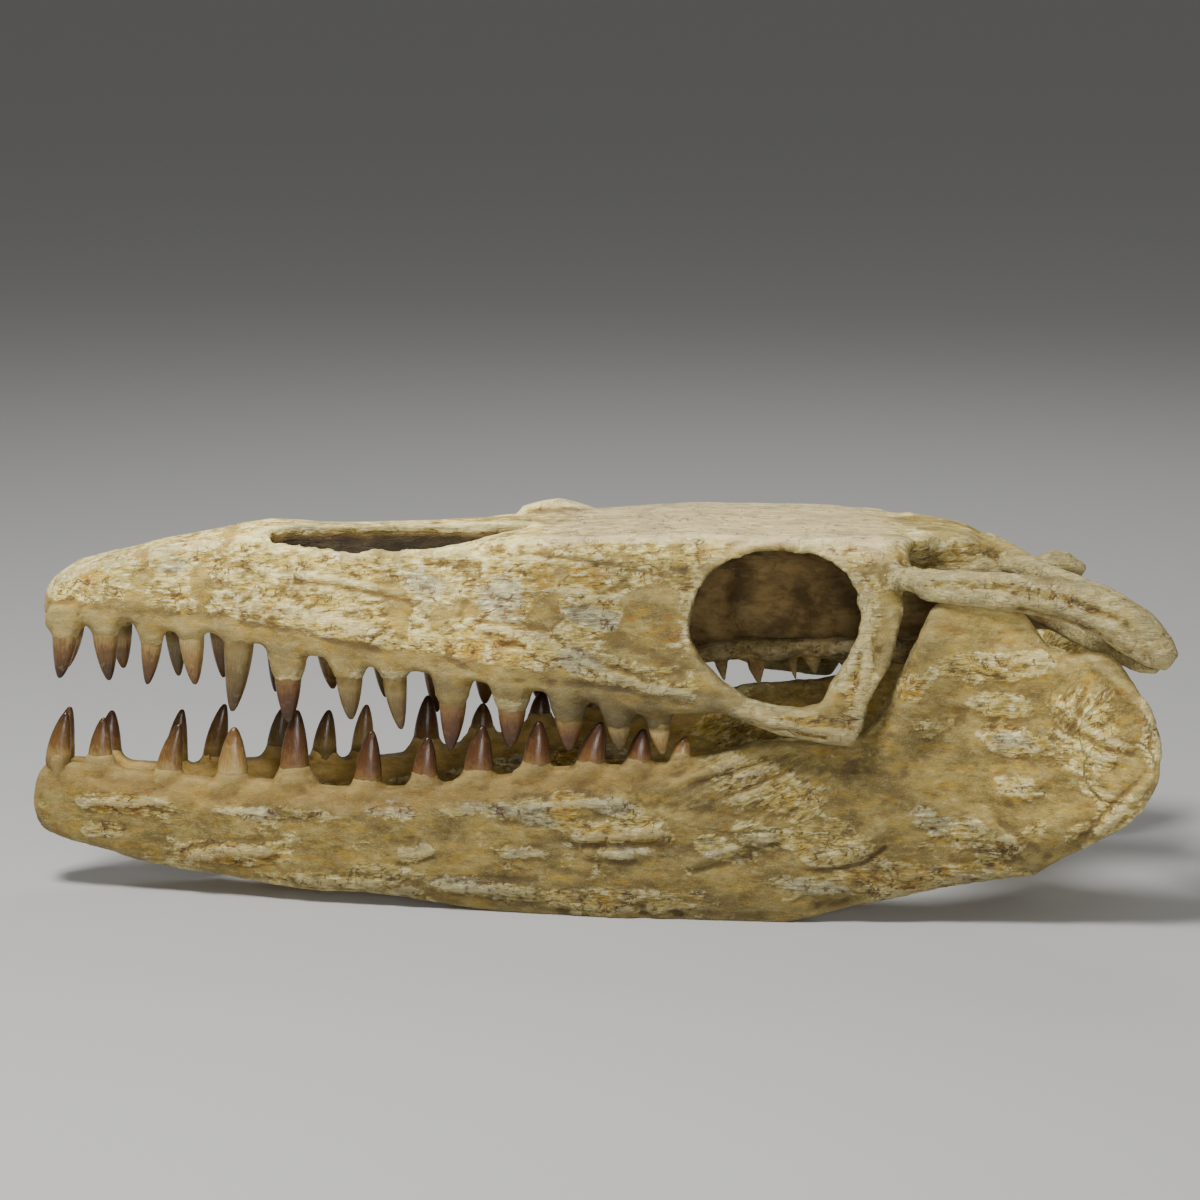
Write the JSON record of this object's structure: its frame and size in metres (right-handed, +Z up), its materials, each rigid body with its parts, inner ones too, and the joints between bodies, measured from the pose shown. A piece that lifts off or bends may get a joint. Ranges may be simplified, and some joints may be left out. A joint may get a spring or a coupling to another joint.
{
  "type": "fossil mosasaur skull",
  "caption": "Fossil mosasaur skull with its jaws open, teeth in their sockets, resting on its lower jaws.",
  "frame": {"origin": "centre of the skull's box, on the surface that its lower jaws rest on", "axes": "+X towards the back of the head, the snout points to -X, +Z up, the animal's left side faces -Y"},
  "size_m": [0.8074, 0.2918, 0.2795],
  "materials": {
    "fossil_bone": "matte, cracked, sandy",
    "palate_bone": "matte",
    "tooth_enamel": "satin"
  },
  "bodies": {
    "root": {"cranium": "fossil_bone", "lower_jaw_left": "fossil_bone", "lower_jaw_right": "fossil_bone", "pterygoid_left": "palate_bone", "pterygoid_right": "palate_bone", "upper_tooth_left_01": "tooth_enamel", "upper_tooth_left_02": "tooth_enamel", "upper_tooth_left_03": "tooth_enamel", "upper_tooth_left_04": "tooth_enamel", "upper_tooth_left_05": "tooth_enamel", "upper_tooth_left_06": "tooth_enamel", "upper_tooth_left_07": "tooth_enamel", "upper_tooth_left_08": "tooth_enamel", "upper_tooth_left_09": "tooth_enamel", "upper_tooth_left_10": "tooth_enamel", "upper_tooth_left_11": "tooth_enamel", "upper_tooth_left_12": "tooth_enamel", "upper_tooth_left_13": "tooth_enamel", "upper_tooth_right_01": "tooth_enamel", "upper_tooth_right_02": "tooth_enamel", "upper_tooth_right_03": "tooth_enamel", "upper_tooth_right_04": "tooth_enamel", "upper_tooth_right_05": "tooth_enamel", "upper_tooth_right_06": "tooth_enamel", "upper_tooth_right_07": "tooth_enamel", "upper_tooth_right_08": "tooth_enamel", "upper_tooth_right_09": "tooth_enamel", "upper_tooth_right_10": "tooth_enamel", "upper_tooth_right_11": "tooth_enamel", "upper_tooth_right_12": "tooth_enamel", "upper_tooth_right_13": "tooth_enamel", "lower_tooth_left_01": "tooth_enamel", "lower_tooth_left_02": "tooth_enamel", "lower_tooth_left_03": "tooth_enamel", "lower_tooth_left_04": "tooth_enamel", "lower_tooth_left_05": "tooth_enamel", "lower_tooth_left_06": "tooth_enamel", "lower_tooth_left_07": "tooth_enamel", "lower_tooth_left_08": "tooth_enamel", "lower_tooth_left_09": "tooth_enamel", "lower_tooth_left_10": "tooth_enamel", "lower_tooth_left_11": "tooth_enamel", "lower_tooth_left_12": "tooth_enamel", "lower_tooth_right_01": "tooth_enamel", "lower_tooth_right_02": "tooth_enamel", "lower_tooth_right_03": "tooth_enamel", "lower_tooth_right_04": "tooth_enamel", "lower_tooth_right_05": "tooth_enamel", "lower_tooth_right_06": "tooth_enamel", "lower_tooth_right_07": "tooth_enamel", "lower_tooth_right_08": "tooth_enamel", "lower_tooth_right_09": "tooth_enamel", "lower_tooth_right_10": "tooth_enamel", "lower_tooth_right_11": "tooth_enamel", "lower_tooth_right_12": "tooth_enamel", "lower_tooth_right_13": "tooth_enamel"}
  },
  "joints": []
}
